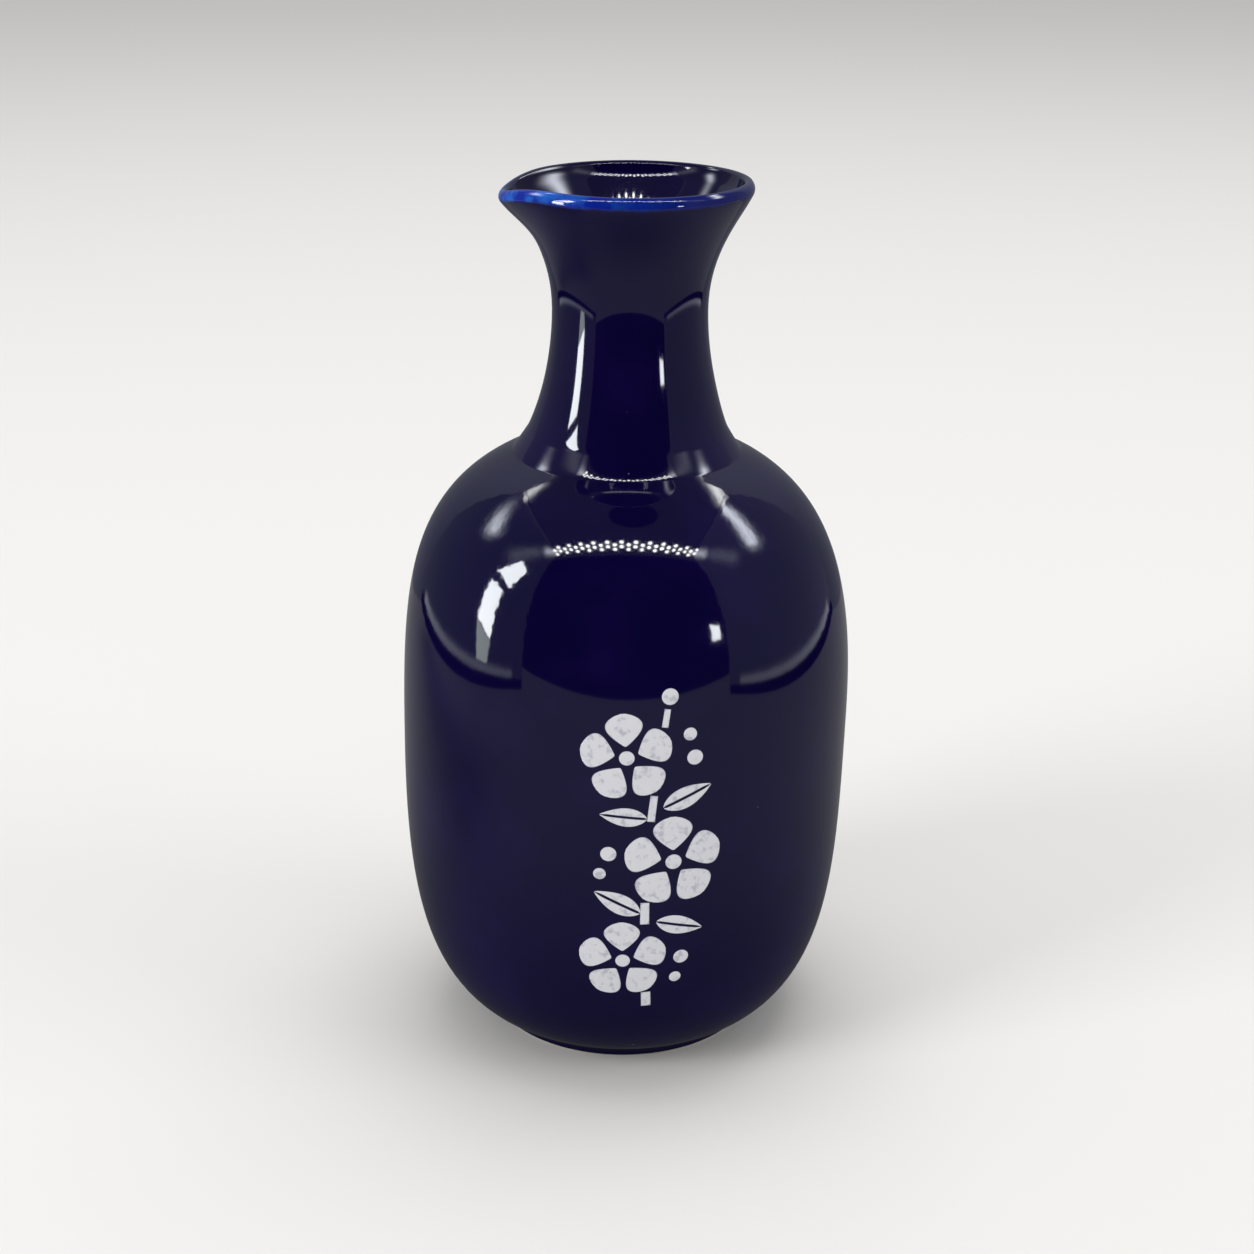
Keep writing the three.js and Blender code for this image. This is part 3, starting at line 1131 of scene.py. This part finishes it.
def tentMaterial(name, base, glows=(), colour="plain", holed=False, gapped=False):
    material = bpy.data.materials.new(name)
    material.use_nodes = True
    material.cycles.emission_sampling = "NONE"
    tree = material.node_tree
    tree.nodes.clear()
    level = base
    for start, end, width, strength in glows:
        given = {"From": start, "To": end, "Width": width, "Strength": strength}
        streak = addNode(tree, "ShaderNodeGroup", node_tree=glowStreak)
        for label, value in given.items():
            streak.inputs[label].default_value = value
        level = compute(tree, "ADD", level, streak.outputs[0])
    place = addNode(tree, "ShaderNodeTexCoord").outputs["Object"]
    if holed:
        centre, radius = tent["hole"]
        low, high = (radius * share for share in tent["holeSoftness"])
        away = addNode(tree, "ShaderNodeVectorMath", {0: place, 1: centre}, operation="DISTANCE")
        beyond = rampBetween(tree, away.outputs["Value"], low, high)
        level = compute(tree, "MULTIPLY", level, beyond)
    if gapped:
        below, above = tent["gapSoftness"]
        z = addNode(tree, "ShaderNodeSeparateXYZ", {0: place}).outputs["Z"]
        over = rampBetween(tree, z, tent["wallGap"] - below, tent["wallGap"] + above)
        level = compute(tree, "MULTIPLY", level, over)
    light = addNode(tree, "ShaderNodeEmission", {"Color": tentColours[colour], "Strength": level})
    addNode(tree, "ShaderNodeOutputMaterial", {"Surface": light.outputs[0]})
    return material


def tentPanel(name, corners, material):
    mesh = bpy.data.meshes.new(name)
    mesh.from_pydata(corners, [], [tuple(range(len(corners)))])
    mesh.materials.append(material)
    seenByGloss(newObject(name, mesh))


def seenByGloss(obj):
    obj.visible_camera = False
    obj.visible_diffuse = False
    obj.visible_transmission = False
    obj.visible_volume_scatter = False
    obj.visible_shadow = False


def rectangle(axis, at, low, high):
    # A panel square to one axis; low and high are its corners along the other two
    corners = []
    for a, b in ((low[0], low[1]), (high[0], low[1]), (high[0], high[1]), (low[0], high[1])):
        point = [a, b]
        point.insert(axis, at)
        corners.append(tuple(point))
    return corners


def makeTent():
    wide, front, back, top = (tent[k] for k in ("halfWidth", "front", "back", "top"))
    floor, proud = tent["floor"], tent["paneProud"]
    sheetEnd, stripStart = tent["seam"]
    sill, band = tent["opening"]
    levels, glows = tentLevels, tentGlowsAndShadows
    opening = tentMaterial("openFront", levels["opening"])
    leftWall = tentMaterial("leftWall", levels["left"], glows["left"], "wall", gapped=True)
    rightWall = tentMaterial("rightWall", levels["right"], glows["right"], "wall", gapped=True)
    roof = tentMaterial("topSheet", levels["roof"], glows["roof"], holed=True)
    roofEdge = tentMaterial("topEdge", levels["roofEdge"], glows["roof"])
    backWall = tentMaterial("backWall", levels["back"], glows["back"], "wall")
    panes = {kind: tentMaterial(kind, levels[kind], colour=kind) for kind in ("pane", "dullPane")}

    tentPanel("tentLeft", rectangle(0, -wide, (front, 0), (back, top)), leftWall)
    tentPanel("tentRight", rectangle(0, wide, (front, 0), (back, top)), rightWall)
    tentPanel("tentBack", rectangle(1, back, (-wide, 0), (wide, top)), backWall)
    tentPanel("tentTop", rectangle(2, top, (-sheetEnd, front), (sheetEnd, back)), roof)
    for name, low, high in (("Left", -wide, -stripStart), ("Right", stripStart, wide)):
        tentPanel(f"tentTop{name}", rectangle(2, top, (low, front), (high, back)), roofEdge)
    behind = top + tent["behindSeam"]
    tentPanel("tentSeams", rectangle(2, behind, (-wide, front), (wide, back)), opening)
    for name, low, high, material in (
        ("tentBand", band, top, tentMaterial("frontBand", levels["band"])),
        ("tentSill", 0, sill, tentMaterial("frontSill", levels["sill"])),
        ("tentOpening", sill, band, opening),
    ):
        tentPanel(name, rectangle(1, front, (-wide, low), (wide, high)), material)
    clothWithShadow = tentMaterial("floorCloth", levels["clothWithShadow"], glows["clothWithShadow"])
    tentPanel("tentFloor", rectangle(2, floor, (-wide, front), (wide, back)), clothWithShadow)
    for name, (kind, corners) in leftPanes.items():
        tentPanel(name, [(proud - wide, y, z) for y, z in corners], panes[kind])
    tentPanel("paneRight", rectangle(1, front + proud, *rightPane), panes["pane"])


makeTent()

# The lamp bar: beads in staggered pairs along the tent's front upper edge
lampBar = {
    "place": (0, -0.215, 0.497),
    "pitch": 0.025,
    "columns": 24,
    "pairGap": 0.030,
    "stagger": 0.018,
    "beadSize": (0.0072, 0.0105),
    "strength": 30.0,
}


def lampBarTree():
    tree = bpy.data.node_groups.new("beadRows", "GeometryNodeTree")
    addSocket(tree, "Bead", "INPUT", "NodeSocketGeometry")
    addSocket(tree, "Columns", "INPUT", "NodeSocketInt", lampBar["columns"])
    for name in ("Pitch", "Pair Gap", "Stagger"):
        addSocket(tree, name, "INPUT", "NodeSocketFloat", 0.02)
    addSocket(tree, "Place", "INPUT", "NodeSocketVector", lampBar["place"])
    addSocket(tree, "Material", "INPUT", "NodeSocketMaterial")
    addSocket(tree, "Rows", "OUTPUT", "NodeSocketGeometry")
    given = addNode(tree, "NodeGroupInput").outputs
    count = compute(tree, "MULTIPLY", given["Columns"], 2)
    line = addNode(tree, "GeometryNodeMeshLine", {"Count": count})
    index = addNode(tree, "GeometryNodeInputIndex").outputs[0]
    column = compute(tree, "FLOOR", compute(tree, "DIVIDE", compute(tree, "ADD", index, 0.5), 2))
    second = compute(tree, "SUBTRACT", index, compute(tree, "MULTIPLY", column, 2))
    odd = compute(tree, "MODULO", column, 2)
    middle = compute(tree, "MULTIPLY", compute(tree, "SUBTRACT", given["Columns"], 1), 0.5)
    x = compute(tree, "MULTIPLY", compute(tree, "SUBTRACT", column, middle), given["Pitch"])
    pairSide = compute(tree, "MULTIPLY", compute(tree, "SUBTRACT", second, 0.5), given["Pair Gap"])
    y = compute(
        tree,
        "MULTIPLY_ADD",
        compute(tree, "SUBTRACT", odd, 0.5),
        given["Stagger"],
        pairSide,
    )
    offset = addNode(tree, "ShaderNodeCombineXYZ", {"X": x, "Y": y})
    place = addNode(
        tree, "ShaderNodeVectorMath", {0: offset.outputs[0], 1: given["Place"]}, operation="ADD"
    )
    points = addNode(
        tree, "GeometryNodeSetPosition", {"Geometry": line.outputs[0], "Position": place.outputs[0]}
    )
    beads = addNode(
        tree,
        "GeometryNodeInstanceOnPoints",
        {"Points": points.outputs[0], "Instance": given["Bead"]},
    )
    real = addNode(tree, "GeometryNodeRealizeInstances", {"Geometry": beads.outputs[0]})
    finished = addNode(
        tree,
        "GeometryNodeSetMaterial",
        {"Geometry": real.outputs[0], "Material": given["Material"]},
    )
    addNode(tree, "NodeGroupOutput", {"Rows": finished.outputs[0]})
    return tree


def makeLampBar():
    around = 16
    sizeX, sizeY = lampBar["beadSize"]
    ring = [
        (sizeX * math.cos(math.tau * i / around), sizeY * math.sin(math.tau * i / around), 0)
        for i in range(around)
    ]
    mesh = bpy.data.meshes.new("lampBeads")
    mesh.from_pydata(ring, [], [tuple(range(around))])
    obj = newObject("lampBeads", mesh)
    values = {
        "Columns": lampBar["columns"],
        "Pitch": lampBar["pitch"],
        "Pair Gap": lampBar["pairGap"],
        "Stagger": lampBar["stagger"],
        "Place": lampBar["place"],
        "Material": tentMaterial("beadLight", lampBar["strength"]),
    }
    applyTree(obj, lampBarTree(), values)
    seenByGloss(obj)


makeLampBar()
print("stage made")
